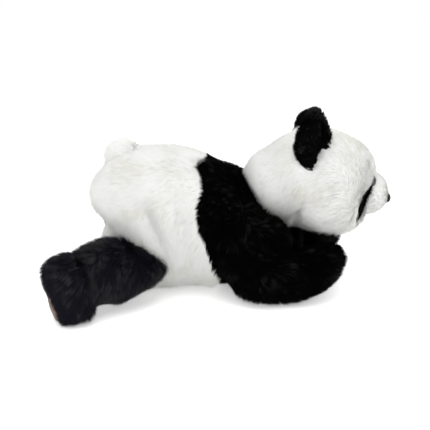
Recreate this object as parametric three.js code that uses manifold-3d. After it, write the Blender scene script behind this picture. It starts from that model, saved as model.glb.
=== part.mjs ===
// A plush panda lying on its belly with its hind legs splayed behind it.
// Millimetres, +Z up, +X towards the nose, +Y to the panda's left. The origin is on the floor,
// under the middle of the whole toy.
import * as THREE from "three";
import { mergeVertices } from "three/addons/utils/BufferGeometryUtils.js";
import Module from "manifold-3d";

const wasm = await Module();
wasm.setup();

const point = (x, y, z) => new THREE.Vector3(x, y, z);

// ---- Driving dimensions ----

const GAP = 0.4; // between pieces that touch
const PLUSH = 3; // backing cloth with its pile pressed down
const SUEDE = 2; // sole cloth
const RUNNING = 1.5; // room round a limb's root where it turns against the torso

// Stations of a stuffed tube: [x, y, z of the middle, half width, half height]
const TORSO = [
  [-144, 0, 79, 50, 52],
  [-128, 0, 75, 66, 70],
  [-98, 0, 71, 76, 79],
  [-62, 0, 71.5, 78, 79.5],
  [-28, 0, 67, 76, 75],
  [6, 0, 61, 70, 69],
  [40, 0, 50, 60, 56],
  [70, 0, 42, 38, 40],
  [84, 0, 40, 22, 24],
];
const FOREARM = [
  [14, 64, 33, 27, 27],
  [46, 71, 31.5, 30, 30.5],
  [90, 54, 32, 29, 31],
  [124, 38, 36, 24, 27],
];
const SHANK = [
  [-84, 62, 42, 28, 32],
  [-110, 88, 45, 31, 33],
  [-134, 112, 44, 31, 31],
  [-146, 124, 43, 28, 29],
];
const SEAM_X = -30; // where the white back meets the black shoulder band

const SHOULDER = point(16, 64, 51); // the arm turns about a vertical line here
const SHOULDER_RADII = [33, 33, 49];
const ARM_SWEEP_ROOM = 6; // room beside the forearm for tucking it in
const HIP = point(-85, 62, 42); // the leg turns about a vertical line here
const HIP_RADII = [34, 34, 38];
const LEG_SWEEP_ROOM = 5;
const FLANK = point(-88, 104, 38); // hollow in the flank that the thigh swings through
const FLANK_RADII = [78, 46, 50];
const FOOT = point(-149, 126.5, 33);
const FOOT_RADII = [26, 23, 32.5]; // half width, half depth from sole to instep, half height
const FOOT_TURN = 68; // degrees from straight out sideways to the way the sole faces
const SOLE_RADII = [18, 24];
const LIMB_OPENING = 16; // radius of the open end that is sewn to the torso

const NECK = point(60, 0, 108); // the head turns and nods about this point
const NECK_RADIUS = 52; // round base of the head
const NECK_ROOM = 2.5; // room round it where it turns against the torso
const NECK_LEAN = 46; // degrees from vertical of the way from torso to head
const NECK_OPENING = 22; // radius of the hand-sewn opening
const NECK_OPENING_DEPTH = 64; // from the middle of the neck into the torso
const NECK_WAD = 24; // radius of the firm filling in the neck
const SKULL = point(97, 0, 115);
const SKULL_RADII = [54, 58, 53];
const CHIN_ROOM = point(92, 0, 115); // space over the chest for the head to nod and turn in
const CHIN_ROOM_RADII = [70, 86, 66];
const MUZZLE = point(143, 0, 96);
const MUZZLE_RADII = [24, 28, 21];

const TAIL = point(-118, 0, 140);
const TAIL_RADIUS = 20;
const TAIL_SWEEP_ROOM = 5;
const TAIL_OPENING = 9; // radius of the opening that is sewn to the rump
const TAIL_OPENING_END = point(-108, 0, 100);

const EAR_ROOT = point(82, 38, 150); // the ear folds about a line along X here
const EAR_ROOT_RADIUS = 8;
const EAR_ROOT_LENGTH = 30;
const EAR_TROUGH_RADIUS = 12.5;
const EAR_TROUGH_LENGTH = 44;
const EAR = point(81, 45, 165);
const EAR_RADII = [18.5, 13, 21.5];
const EAR_HOLLOW = point(90, 37, 168); // the cup opens forwards and inwards
const EAR_HOLLOW_RADII = [17.5, 12, 18.5];
const EAR_LINING = 2.5;

const EYE = point(141.5, 23, 114);
const EYE_AIM = point(0.86, 0.5, 0.05).normalize();
const EYE_RADIUS = 6.5;
const EYE_STEM = 13;
const PATCH = point(140, 27, 106);
const PATCH_RADII = [11, 22];
const PATCH_LEAN = 22; // degrees that the patch's lower end droops outwards
const PATCH_AIM = 24; // degrees that it faces away from straight ahead
const PATCH_THICKNESS = 2;
const NOSE = point(165.5, 0, 102);
const NOSE_AIM = point(0.96, 0, 0.28).normalize();
const NOSE_RADII = [5, 7.5, 5.5];
const NOSE_STEM = 14;
const STEM_RADIUS = 2;
const STEM_SIDES = 8;
const WASHER_RADIUS = 8;
const WASHER_THICKNESS = 1.6;
const WASHER_SIDES = 12;
const WASHER_SETBACK = 4; // of the washer's outer face from the stem's inner end

const PELLETS = point(-66, 0, 16);
const PELLETS_RADII = [46, 24, 22];

const FAR = 400; // beyond the whole toy
const INNER_DETAIL = 0.7; // share of a cover's faces that a cavity or filling has

// ---- Materials ----

const soft = (color, roughness) => new THREE.MeshStandardMaterial({ color, roughness, metalness: 0 });
const WHITE_PLUSH = soft(0xf1f0ea, 0.95);
const SHORT_WHITE_PLUSH = soft(0xe9e8e2, 0.9);
const BLACK_PLUSH = soft(0x17161a, 0.9);
const BROWN_SUEDE = soft(0x6b4a35, 0.85);
const FIBRE = soft(0xf8f8f8, 1);
const PELLET_CLOTH = soft(0xd8d4c8, 0.9);
const GLOSS_BLACK = soft(0x0b0a0b, 0.12);
const WASHER_PLASTIC = soft(0xdcdcd8, 0.5);

// ---- Solids ----

const degrees = THREE.MathUtils.degToRad;

function solidFrom(geometry) {
  const bare = new THREE.BufferGeometry();
  bare.setAttribute("position", geometry.getAttribute("position"));
  bare.setIndex(geometry.getIndex());
  const merged = mergeVertices(bare, 1e-3);
  const corners = Array.from(merged.getIndex().array);
  const kept = [];
  for (let i = 0; i < corners.length; i += 3) {
    const [a, b, c] = corners.slice(i, i + 3);
    if (a !== b && b !== c && c !== a) kept.push(a, b, c);
  }
  return new wasm.Manifold(new wasm.Mesh({
    numProp: 3,
    vertProperties: new Float32Array(merged.getAttribute("position").array),
    triVerts: new Uint32Array(kept),
  }));
}

function geometryFrom(solid) {
  const { vertProperties, triVerts } = solid.getMesh();
  const geometry = new THREE.BufferGeometry();
  geometry.setAttribute("position", new THREE.BufferAttribute(vertProperties, 3));
  geometry.setIndex(new THREE.BufferAttribute(triVerts, 1));
  return geometry;
}

// The same solid on the panda's right. Mirroring turns the triangles round, so their order is reversed.
function mirrored(solid) {
  const geometry = geometryFrom(solid).scale(1, -1, 1);
  geometry.getIndex().array.reverse();
  return solidFrom(geometry);
}

const union = (solids) => solids.reduce((whole, solid) => whole.add(solid));
const without = (solid, cuts) => cuts.reduce((left, cut) => left.subtract(cut), solid);
const bothSides = (solid) => [solid, mirrored(solid)];

// The largest body of a solid, because a cut can leave loose crumbs.
const largest = (solid) => solid.decompose().sort((a, b) => b.volume() - a.volume())[0];

// Faces round a form: a cavity or a filling is a shrunk form and has fewer than a cover.
const faces = (count, grow) => (grow < 0 ? 2 * Math.round(count * INNER_DETAIL / 2) : count);

function ellipsoid(centre, radii, grow = 0, { around = 14, down = 7, turn = 0 } = {}) {
  const geometry = new THREE.SphereGeometry(1, faces(around, grow), faces(down, grow))
    .rotateX(Math.PI / 2)
    .scale(...radii.map((radius) => radius + grow))
    .rotateZ(degrees(turn))
    .translate(centre.x, centre.y, centre.z);
  return solidFrom(geometry);
}

const ball = (centre, radius, grow, options) => ellipsoid(centre, [radius, radius, radius], grow, options);

// A straight round rod between two points.
function rod(from, to, radius, sides = 10) {
  const way = to.clone().sub(from);
  const turn = new THREE.Quaternion().setFromUnitVectors(point(0, 1, 0), way.clone().normalize());
  const middle = from.clone().add(to).multiplyScalar(0.5);
  const geometry = new THREE.CylinderGeometry(radius, radius, way.length(), sides)
    .applyQuaternion(turn)
    .translate(middle.x, middle.y, middle.z);
  return solidFrom(geometry);
}

// A block between two corners.
function block(low, high) {
  const size = high.map((value, i) => value - low[i]);
  const geometry = new THREE.BoxGeometry(...size).translate(...low.map((value, i) => value + size[i] / 2));
  return solidFrom(geometry);
}

const aboveFloor = (clearance) => block([-FAR, -FAR, clearance], [FAR, FAR, FAR]);

// A stuffed tube along a smooth line through its stations, with round ends.
function stuffedTube(stations, grow, { cap = 0.18, around = 12, along = 7 } = {}) {
  const spine = new THREE.CatmullRomCurve3(stations.map(([x, y, z]) => point(x, y, z)));
  const girth = new THREE.CatmullRomCurve3(stations.map(([, , , w, h]) => point(w, h, 0)));
  const roundness = (share) => Math.sqrt(1 - (1 - Math.min(share / cap, 1)) ** 2);
  const geometry = new THREE.SphereGeometry(1, faces(around, grow), faces(along, grow));
  const places = geometry.getAttribute("position");
  for (let i = 0; i < places.count; i++) {
    const share = THREE.MathUtils.clamp((1 - places.getY(i)) / 2, 0, 1);
    const angle = Math.atan2(places.getZ(i), places.getX(i));
    const tangent = spine.getTangent(share);
    const side = point(0, 0, 1).cross(tangent).normalize();
    const top = tangent.clone().cross(side);
    const size = girth.getPoint(share);
    const round = roundness(share) * roundness(1 - share);
    spine
      .getPoint(share)
      .addScaledVector(tangent, grow * (2 * share - 1))
      .addScaledVector(side, round * (size.x + grow) * Math.cos(angle))
      .addScaledVector(top, round * (size.y + grow) * Math.sin(angle))
      .toArray(places.array, 3 * i);
  }
  return solidFrom(geometry);
}

// ---- Whole forms, each grown or shrunk evenly by an amount ----

const torsoForm = (grow) =>
  stuffedTube(TORSO, grow, { cap: 0.1, around: 20, along: 12 }).intersect(aboveFloor(-grow));

const shoulderForm = (grow) => ellipsoid(SHOULDER, SHOULDER_RADII, grow);
const forearmForm = (grow) => stuffedTube(FOREARM, grow, { cap: 0.24 });
const armForm = (grow) => shoulderForm(grow).add(forearmForm(grow));

const hipForm = (grow) => ellipsoid(HIP, HIP_RADII, grow);
const shankForm = (grow) => stuffedTube(SHANK, grow, { cap: 0.3 });
const footForm = (grow) => ellipsoid(FOOT, FOOT_RADII, grow, { turn: FOOT_TURN });
const legForm = (grow) => union([hipForm(grow), shankForm(grow), footForm(grow)]);

const HEAD_DETAIL = { around: 18, down: 9 };
const headForm = (grow) =>
  ball(NECK, NECK_RADIUS, grow, HEAD_DETAIL).add(ellipsoid(SKULL, SKULL_RADII, grow, HEAD_DETAIL));
const muzzleForm = (grow) => ellipsoid(MUZZLE, MUZZLE_RADII, grow);
const tailForm = (grow) => ball(TAIL, TAIL_RADIUS, grow);

const towardsTorso = point(-Math.sin(degrees(NECK_LEAN)), 0, -Math.cos(degrees(NECK_LEAN)));
const neckTunnel = rod(NECK, NECK.clone().addScaledVector(towardsTorso, NECK_OPENING_DEPTH), NECK_OPENING);

// ---- Torso: white back, black shoulder band, filling, and pellets that weigh the belly down ----

// What the torso leaves free for the head, tail and limbs, with a wall of cloth round each.
const torsoRoom = (wall) => [
  ball(NECK, NECK_RADIUS, NECK_ROOM + wall, HEAD_DETAIL),
  ellipsoid(CHIN_ROOM, CHIN_ROOM_RADII, wall),
  tailForm(TAIL_SWEEP_ROOM + wall),
  ...bothSides(shoulderForm(RUNNING + wall)),
  ...bothSides(forearmForm(ARM_SWEEP_ROOM + wall)),
  ...bothSides(hipForm(RUNNING + wall)),
  ...bothSides(shankForm(LEG_SWEEP_ROOM + wall)),
  ...bothSides(ellipsoid(FLANK, FLANK_RADII, wall)),
];

const pelletForm = (grow) =>
  ellipsoid(PELLETS, PELLETS_RADII, grow).intersect(aboveFloor(PLUSH + 2 * GAP - grow));

const torsoCavity = largest(without(torsoForm(-PLUSH), torsoRoom(PLUSH)));
const torsoCover = without(torsoForm(0), [...torsoRoom(0), torsoCavity, neckTunnel]);
const torsoFilling = without(torsoForm(-PLUSH - GAP), [...torsoRoom(PLUSH + GAP), pelletForm(GAP)]);
const behindSeam = block([-FAR, -FAR, -FAR], [SEAM_X - GAP / 2, FAR, FAR]);
const beforeSeam = block([SEAM_X + GAP / 2, -FAR, -FAR], [FAR, FAR, FAR]);

// ---- Buttons held by a stem and a washer: the eyes and the nose ----

const alongStem = (seat, aim, depth) => seat.clone().addScaledVector(aim, -depth);

function stemForm(seat, aim, length, grow) {
  return rod(alongStem(seat, aim, length + grow), seat, STEM_RADIUS + grow, STEM_SIDES);
}

function washerForm(seat, aim, length, grow) {
  const outer = alongStem(seat, aim, length - WASHER_SETBACK - grow);
  const inner = alongStem(seat, aim, length - WASHER_SETBACK + WASHER_THICKNESS + grow);
  return rod(inner, outer, WASHER_RADIUS + grow, WASHER_SIDES);
}

// Gives the button with its stem, the washer, and the room that both need.
function button(form, seat, aim, length) {
  return {
    body: form(0).add(stemForm(seat, aim, length, 0)),
    washer: washerForm(seat, aim, length, 0).subtract(stemForm(seat, aim, length, GAP)),
    room: union([form(GAP), stemForm(seat, aim, length, GAP), washerForm(seat, aim, length, GAP)]),
  };
}

const BUTTON_DETAIL = { around: 10, down: 6 };
const eye = button((grow) => ball(EYE, EYE_RADIUS, grow, BUTTON_DETAIL), EYE, EYE_AIM, EYE_STEM);
const nose = button((grow) => ellipsoid(NOSE, NOSE_RADII, grow, BUTTON_DETAIL), NOSE, NOSE_AIM, NOSE_STEM);

// ---- Ears: a shallow cup on a rolled root that lies in a trough across the head ----

function acrossEar(radius, length) {
  const half = point(length / 2, 0, 0);
  return rod(EAR_ROOT.clone().sub(half), EAR_ROOT.clone().add(half), radius);
}

const EAR_DETAIL = { around: 12, down: 8 };
const earHollow = (grow) => ellipsoid(EAR_HOLLOW, EAR_HOLLOW_RADII, grow, EAR_DETAIL);
const earCup = ellipsoid(EAR, EAR_RADII, 0, EAR_DETAIL).subtract(earHollow(0));
const earRoot = acrossEar(EAR_ROOT_RADIUS, EAR_ROOT_LENGTH);
const earRootRoom = acrossEar(EAR_ROOT_RADIUS + GAP, EAR_ROOT_LENGTH + 2 * GAP);
const earTrough = acrossEar(EAR_TROUGH_RADIUS, EAR_TROUGH_LENGTH);
const earBack = earCup.add(earRoot).subtract(earHollow(EAR_LINING + GAP));
const earLining = earCup.intersect(earHollow(EAR_LINING)).subtract(earRootRoom);

// ---- Head ----

const headRoom = [neckTunnel, ...bothSides(earTrough), ...bothSides(eye.room), nose.room];
const headCover = without(headForm(0), [headForm(-PLUSH), muzzleForm(-PLUSH), ...headRoom]);
const headFilling = without(
  headForm(-PLUSH - GAP).add(muzzleForm(-PLUSH - GAP)),
  [ball(NECK, NECK_WAD, RUNNING), ...headRoom],
);
const muzzleCover = without(muzzleForm(0), [muzzleForm(-PLUSH), headForm(GAP), nose.room]);

const patchOutline = solidFrom(
  new THREE.CylinderGeometry(1, 1, 2 * PATCH_RADII[1], 16)
    .rotateZ(Math.PI / 2)
    .scale(1, PATCH_RADII[0], PATCH_RADII[1])
    .rotateX(degrees(PATCH_LEAN))
    .rotateZ(degrees(PATCH_AIM))
    .translate(PATCH.x, PATCH.y, PATCH.z),
);
const eyePatch = without(
  headForm(GAP + PATCH_THICKNESS).intersect(patchOutline),
  [headForm(GAP), muzzleForm(GAP), eye.room],
);

// ---- Limbs and tail ----

const armWay = rod(SHOULDER, point(SHOULDER.x, 0, SHOULDER.z), LIMB_OPENING);
const armCover = without(armForm(0), [armForm(-PLUSH), armWay]);

const legWay = rod(HIP, point(HIP.x, 0, HIP.z), LIMB_OPENING);
const soleReach = FOOT_RADII[2];
const soleOutline = (grow) => solidFrom(
  new THREE.CylinderGeometry(1, 1, 2 * soleReach, 18)
    .translate(0, soleReach, 0)
    .scale(SOLE_RADII[0] + grow, 1, SOLE_RADII[1] + grow)
    .rotateZ(degrees(FOOT_TURN))
    .translate(FOOT.x, FOOT.y, FOOT.z),
);
const sole = footForm(0).subtract(footForm(-SUEDE)).intersect(soleOutline(0));
const soleRoom = footForm(GAP).subtract(footForm(-SUEDE - GAP)).intersect(soleOutline(GAP));
const legCover = without(legForm(0), [legForm(-PLUSH), legWay, soleRoom]);

const tailWay = rod(TAIL, TAIL_OPENING_END, TAIL_OPENING);
const tailCover = without(tailForm(0), [tailForm(-PLUSH), tailWay]);

// ---- The toy ----

const panda = new THREE.Group();

function add(name, solid, material) {
  const geometry = geometryFrom(largest(solid));
  geometry.computeVertexNormals();
  const mesh = new THREE.Mesh(geometry, material);
  mesh.name = name;
  panda.add(mesh);
}

function addPair(name, solid, material) {
  add(`left_${name}`, solid, material);
  add(`right_${name}`, mirrored(solid), material);
}

add("torso_cover_white", torsoCover.intersect(behindSeam), WHITE_PLUSH);
add("shoulder_band_black", torsoCover.intersect(beforeSeam), BLACK_PLUSH);
add("torso_filling", torsoFilling, FIBRE);
add("pellet_bag", pelletForm(0), PELLET_CLOTH);
add("neck_wad", ball(NECK, NECK_WAD, 0), FIBRE);
add("head_cover", headCover, WHITE_PLUSH);
add("head_filling", headFilling, FIBRE);
add("muzzle_cover", muzzleCover, SHORT_WHITE_PLUSH);
add("nose", nose.body, GLOSS_BLACK);
add("nose_washer", nose.washer, WASHER_PLASTIC);
add("tail_cover", tailCover, WHITE_PLUSH);
add("tail_filling", tailForm(-PLUSH - GAP), FIBRE);
addPair("eye_patch", eyePatch, BLACK_PLUSH);
addPair("eye", eye.body, GLOSS_BLACK);
addPair("eye_washer", eye.washer, WASHER_PLASTIC);
addPair("ear_back", earBack, BLACK_PLUSH);
addPair("ear_lining", earLining, BLACK_PLUSH);
addPair("arm_cover", armCover, BLACK_PLUSH);
addPair("arm_filling", armForm(-PLUSH - GAP), FIBRE);
addPair("leg_cover", legCover, BLACK_PLUSH);
addPair("leg_filling", legForm(-PLUSH - GAP), FIBRE);
addPair("sole", sole, BROWN_SUEDE);

export default panda;
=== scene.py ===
"""A plush panda lying on its belly: furry skins, pile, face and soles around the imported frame.

Shapes are written in millimetres in the row frame (+X towards the nose, +Y to the panda's left, +Z up)
and become metres when a mesh is made. The right side mirrors the left.
"""

import math

import bmesh
import bpy
import numpy as np
from mathutils import Matrix, Vector
from mathutils.bvhtree import BVHTree


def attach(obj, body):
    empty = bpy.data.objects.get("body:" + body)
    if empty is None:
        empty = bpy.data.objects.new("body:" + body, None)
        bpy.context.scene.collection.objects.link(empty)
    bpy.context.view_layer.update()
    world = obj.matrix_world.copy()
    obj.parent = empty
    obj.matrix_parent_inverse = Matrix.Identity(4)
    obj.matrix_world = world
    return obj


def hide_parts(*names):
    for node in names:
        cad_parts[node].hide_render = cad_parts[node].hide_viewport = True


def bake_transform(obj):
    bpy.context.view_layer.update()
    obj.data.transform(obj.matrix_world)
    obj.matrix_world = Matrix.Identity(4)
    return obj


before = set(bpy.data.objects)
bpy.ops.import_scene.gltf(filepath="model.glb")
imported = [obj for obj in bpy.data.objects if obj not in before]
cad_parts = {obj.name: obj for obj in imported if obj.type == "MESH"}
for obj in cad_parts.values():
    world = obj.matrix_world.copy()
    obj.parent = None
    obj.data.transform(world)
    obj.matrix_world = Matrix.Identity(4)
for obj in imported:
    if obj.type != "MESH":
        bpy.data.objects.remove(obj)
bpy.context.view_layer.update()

MM = 0.001
PILE = 4.0  # how far the skin lies below the tips of the pile
FLOOR_CLEARANCE = 0.4

# ---- Camera, floor and light ----

CAMERA_DISTANCE = 0.8
CAMERA_AZIMUTH = math.radians(5)
CAMERA_ELEVATION = math.radians(14.5)
CAMERA_LENS = 60.9
LOOK_AT = Vector((-0.017, 0, 0.075))
LIGHTS_AIM = (0, 0, 0.06)
WHITE = (1, 1, 1, 1)
FLOOR_GLOW = 0.38  # lifts the paper to white between the lights


def aim(obj, target):
    """Turns a camera or a light so that it looks at a point."""
    obj.rotation_euler = (Vector(target) - obj.location).to_track_quat("-Z", "Y").to_euler()


def add_camera():
    camera = bpy.data.objects.new("camera", bpy.data.cameras.new("camera"))
    camera.data.lens = CAMERA_LENS
    camera.data.sensor_width = 36
    camera.location = LOOK_AT + CAMERA_DISTANCE * Vector((
        math.sin(CAMERA_AZIMUTH) * math.cos(CAMERA_ELEVATION),
        -math.cos(CAMERA_AZIMUTH) * math.cos(CAMERA_ELEVATION),
        math.sin(CAMERA_ELEVATION),
    ))
    aim(camera, LOOK_AT)
    bpy.context.scene.collection.objects.link(camera)
    bpy.context.scene.camera = camera


def add_area_light(name, place, size, watts):
    """A square light, placed in metres."""
    light = bpy.data.objects.new(name, bpy.data.lights.new(name, "AREA"))
    light.data.size = size
    light.data.energy = watts
    light.location = place
    aim(light, LIGHTS_AIM)
    bpy.context.scene.collection.objects.link(light)


def add_stage():
    """White paper under the toy, an even white surround, a key light from above and a fill from the front."""
    bpy.ops.mesh.primitive_circle_add(vertices=96, radius=30, fill_type="NGON", location=(0, 0, -0.0002))
    floor = bpy.context.object
    floor.name = "floor"
    paper = bpy.data.materials.new("paper")
    paper.use_nodes = True
    shader = paper.node_tree.nodes["Principled BSDF"]
    shader.inputs["Base Color"].default_value = WHITE
    shader.inputs["Roughness"].default_value = 0.9
    shader.inputs["Emission Color"].default_value = WHITE
    shader.inputs["Emission Strength"].default_value = FLOOR_GLOW
    floor.data.materials.append(paper)
    world = bpy.data.worlds.new("studio")
    world.use_nodes = True
    surround = world.node_tree.nodes["Background"]
    surround.inputs["Color"].default_value = WHITE
    surround.inputs["Strength"].default_value = 1.0
    bpy.context.scene.world = world
    add_area_light("key", (0.1, -0.55, 1.6), size=1.3, watts=11.5)
    add_area_light("fill", (-0.3, -1.3, 0.35), size=1.2, watts=4.2)
    bpy.context.scene.view_settings.view_transform = "Standard"


add_camera()
add_stage()

# ---- Smooth noise ----


def smooth_noise(points, scale, seed):
    """A soft random value from about -1 to 1 at each point, with lumps about `scale` millimetres across."""
    random = np.random.default_rng(seed)
    waves = random.normal(size=(14, 3)) * (2.2 / scale)
    phases = random.uniform(0, 2 * np.pi, 14)
    return np.sin(points @ waves.T + phases).sum(1) / 3.7


def noise_vectors(points, scale, seed):
    """The same noise three times over, as a vector at each point."""
    return np.stack([smooth_noise(points, scale, seed + i) for i in range(3)], 1)


def unit(vectors):
    return vectors / np.maximum(np.linalg.norm(vectors, axis=-1, keepdims=True), 1e-9)


def smoothstep(low, high, value):
    """0 up to `low`, 1 from `high` on, and a smooth rise between; `low` may be the larger."""
    share = np.clip((value - low) / (high - low), 0, 1)
    return share * share * (3 - 2 * share)


# ---- Shells: plain closed meshes that a skin is made from ----


def sphere_grid(around, down):
    """Unit directions and quads of a sphere whose poles lie along X."""
    polar = np.linspace(0, np.pi, down + 1)[1:-1]
    turn = np.arange(around) * 2 * np.pi / around
    ring = np.stack([
        np.repeat(np.cos(polar), around),
        np.tile(np.cos(turn), down - 1) * np.repeat(np.sin(polar), around),
        np.tile(np.sin(turn), down - 1) * np.repeat(np.sin(polar), around),
    ], 1)
    points = np.vstack([[1, 0, 0], ring, [-1, 0, 0]])
    faces = []
    for i in range(around):
        j = (i + 1) % around
        faces.append((0, 1 + i, 1 + j))
        last = 1 + (down - 2) * around
        faces.append((len(points) - 1, last + j, last + i))
        for row in range(down - 2):
            a = 1 + row * around
            faces.append((a + i, a + around + i, a + around + j, a + j))
    return points, faces


def turn_matrix(axis, degrees):
    return np.array(Matrix.Rotation(math.radians(degrees), 3, axis))


def ellipsoid(centre, radii, turn=0, lean=0, roll=0, square=1.0):
    """An ellipsoid, squarer in outline as `square` falls below 1. Turns about X, then Y, then Z."""
    points, faces = sphere_grid(40, 24)
    points = np.sign(points) * np.abs(points) ** square
    spin = turn_matrix("Z", turn) @ turn_matrix("Y", lean) @ turn_matrix("X", roll)
    return (points * np.array(radii, float)) @ spin.T + np.array(centre, float), faces


def catmull_rom(rows, share):
    """Smooth values between evenly spaced rows, at shares from 0 to 1."""
    rows = np.array(rows, float)
    padded = np.vstack([2 * rows[0] - rows[1], rows, 2 * rows[-1] - rows[-2]])
    place = np.clip(share, 0, 1) * (len(rows) - 1)
    i = np.minimum(place.astype(int), len(rows) - 2)
    t = (place - i)[:, None]
    a, b, c, d = padded[i], padded[i + 1], padded[i + 2], padded[i + 3]
    squared = (2 * a - 5 * b + 4 * c - d) * t**2
    cubed = (3 * b - a - 3 * c + d) * t**3
    return 0.5 * (2 * b + (c - a) * t + squared + cubed)


def tube(stations, grow, cap):
    """A stuffed tube whose ends round off over the share `cap` of its length.

    Stations are [x, y, z, half width, half height], all made larger by `grow`.
    """
    points, faces = sphere_grid(48, 44)
    share = (1 - points[:, 0]) / 2
    rows = catmull_rom(stations, share)
    ahead = catmull_rom(stations, np.clip(share + 0.01, 0, 1))[:, :3]
    behind = catmull_rom(stations, np.clip(share - 0.01, 0, 1))[:, :3]
    tangent = unit(ahead - behind)
    side = unit(np.cross([0, 0, 1], tangent))
    top = np.cross(tangent, side)
    angle = np.arctan2(points[:, 2], points[:, 1])
    roundness = np.ones(len(points))
    for distance in (share, 1 - share):
        roundness *= np.sqrt(np.maximum(0, 1 - (1 - np.minimum(distance / cap, 1)) ** 2))
    return (
        rows[:, :3]
        + tangent * (grow * (2 * share - 1))[:, None]
        + side * (roundness * (rows[:, 3] + grow) * np.cos(angle))[:, None]
        + top * (roundness * (rows[:, 4] + grow) * np.sin(angle))[:, None]
    ), faces


def new_object(name, points, faces, materials=()):
    mesh = bpy.data.meshes.new(name)
    mesh.from_pydata((points * MM).tolist(), [], [tuple(int(i) for i in f) for f in faces])
    mesh.validate()
    for material in materials:
        mesh.materials.append(material)
    obj = bpy.data.objects.new(name, mesh)
    bpy.context.scene.collection.objects.link(obj)
    mesh.polygons.foreach_set("use_smooth", [True] * len(mesh.polygons))
    return obj


def apply_modifiers(obj):
    """Makes the object's mesh what its modifiers show, and removes them."""
    graph = bpy.context.evaluated_depsgraph_get()
    mesh = bpy.data.meshes.new_from_object(obj.evaluated_get(graph))
    obj.modifiers.clear()
    old = obj.data
    obj.data = mesh
    bpy.data.meshes.remove(old)


def points_of(obj):
    """The object's vertices in millimetres."""
    points = np.empty(len(obj.data.vertices) * 3)
    obj.data.vertices.foreach_get("co", points)
    return points.reshape(-1, 3) / MM


def set_points(obj, points):
    obj.data.vertices.foreach_set("co", (points * MM).ravel())
    obj.data.update()


def normals_of(obj):
    normals = np.empty(len(obj.data.vertices) * 3, np.float32)
    obj.data.vertices.foreach_get("normal", normals)
    return normals.reshape(-1, 3).astype(float)


def joined_skin(name, shells, voxel, smooth=6):
    """One closed smooth mesh round several overlapping shells."""
    points = np.vstack([shell[0] for shell in shells])
    faces = []
    first = 0
    for shell_points, shell_faces in shells:
        faces += [tuple(first + i for i in face) for face in shell_faces]
        first += len(shell_points)
    obj = new_object(name, points, faces)
    remesh = obj.modifiers.new("remesh", "REMESH")
    remesh.mode = "VOXEL"
    remesh.voxel_size = voxel * MM
    remesh.use_smooth_shade = True
    soften = obj.modifiers.new("soften", "SMOOTH")
    soften.iterations = smooth
    soften.factor = 0.5
    apply_modifiers(obj)
    return obj


SWELL_FRAMES = 20
FABRIC_STIFFNESS = 15


def swell(obj, pressure, most):
    """Blows the skin up as cloth under the pressure of its filling; no point moves further than `most`."""
    scene = bpy.context.scene
    before = points_of(obj)
    cloth = obj.modifiers.new("cloth", "CLOTH")
    cloth.settings.quality = 5
    cloth.settings.mass = 0.3
    cloth.settings.tension_stiffness = FABRIC_STIFFNESS
    cloth.settings.compression_stiffness = FABRIC_STIFFNESS
    cloth.settings.bending_stiffness = 0.5
    cloth.settings.use_pressure = True
    cloth.settings.uniform_pressure_force = pressure
    cloth.settings.effector_weights.gravity = 0
    cloth.collision_settings.use_collision = False
    for step in range(1, SWELL_FRAMES + 1):
        scene.frame_set(step)
    apply_modifiers(obj)
    scene.frame_set(1)
    move = points_of(obj) - before
    length = np.linalg.norm(move, axis=1, keepdims=True)
    set_points(obj, before + move * np.minimum(1, most / np.maximum(length, 1e-6)))


def subdivide(obj):
    surface = obj.modifiers.new("surface", "SUBSURF")
    surface.levels = 1
    surface.render_levels = 1
    apply_modifiers(obj)


def keep_above_floor(obj, clearance):
    points = points_of(obj)
    points[:, 2] = np.maximum(points[:, 2], clearance)
    set_points(obj, points)


def press(obj, amount):
    """Moves each point along its normal by amount(points), in millimetres."""
    points = points_of(obj)
    set_points(obj, points + normals_of(obj) * amount(points)[:, None])


def set_material(obj, material):
    obj.data.materials.clear()
    obj.data.materials.append(material)


def mirrored(obj, name):
    """The same mesh on the panda's right, with its faces turned back outwards."""
    twin = bpy.data.objects.new(name, obj.data.copy())
    twin.data.name = name
    bpy.context.scene.collection.objects.link(twin)
    twin.data.transform(Matrix.Scale(-1, 4, (0, 1, 0)))
    twin.data.flip_normals()
    return twin


# ---- Materials ----


def shader_of(material):
    return material.node_tree.nodes["Principled BSDF"]


def plain_material(name, color, roughness, sheen=0.0, specular=0.5, coat=0.0):
    material = bpy.data.materials.new(name)
    material.use_nodes = True
    shader = shader_of(material)
    shader.inputs["Base Color"].default_value = (*color, 1)
    shader.inputs["Roughness"].default_value = roughness
    shader.inputs["Specular IOR Level"].default_value = specular
    shader.inputs["Sheen Weight"].default_value = sheen
    shader.inputs["Sheen Roughness"].default_value = 0.4
    shader.inputs["Sheen Tint"].default_value = WHITE
    shader.inputs["Coat Weight"].default_value = coat
    shader.inputs["Coat Roughness"].default_value = 0.04
    return material


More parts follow.
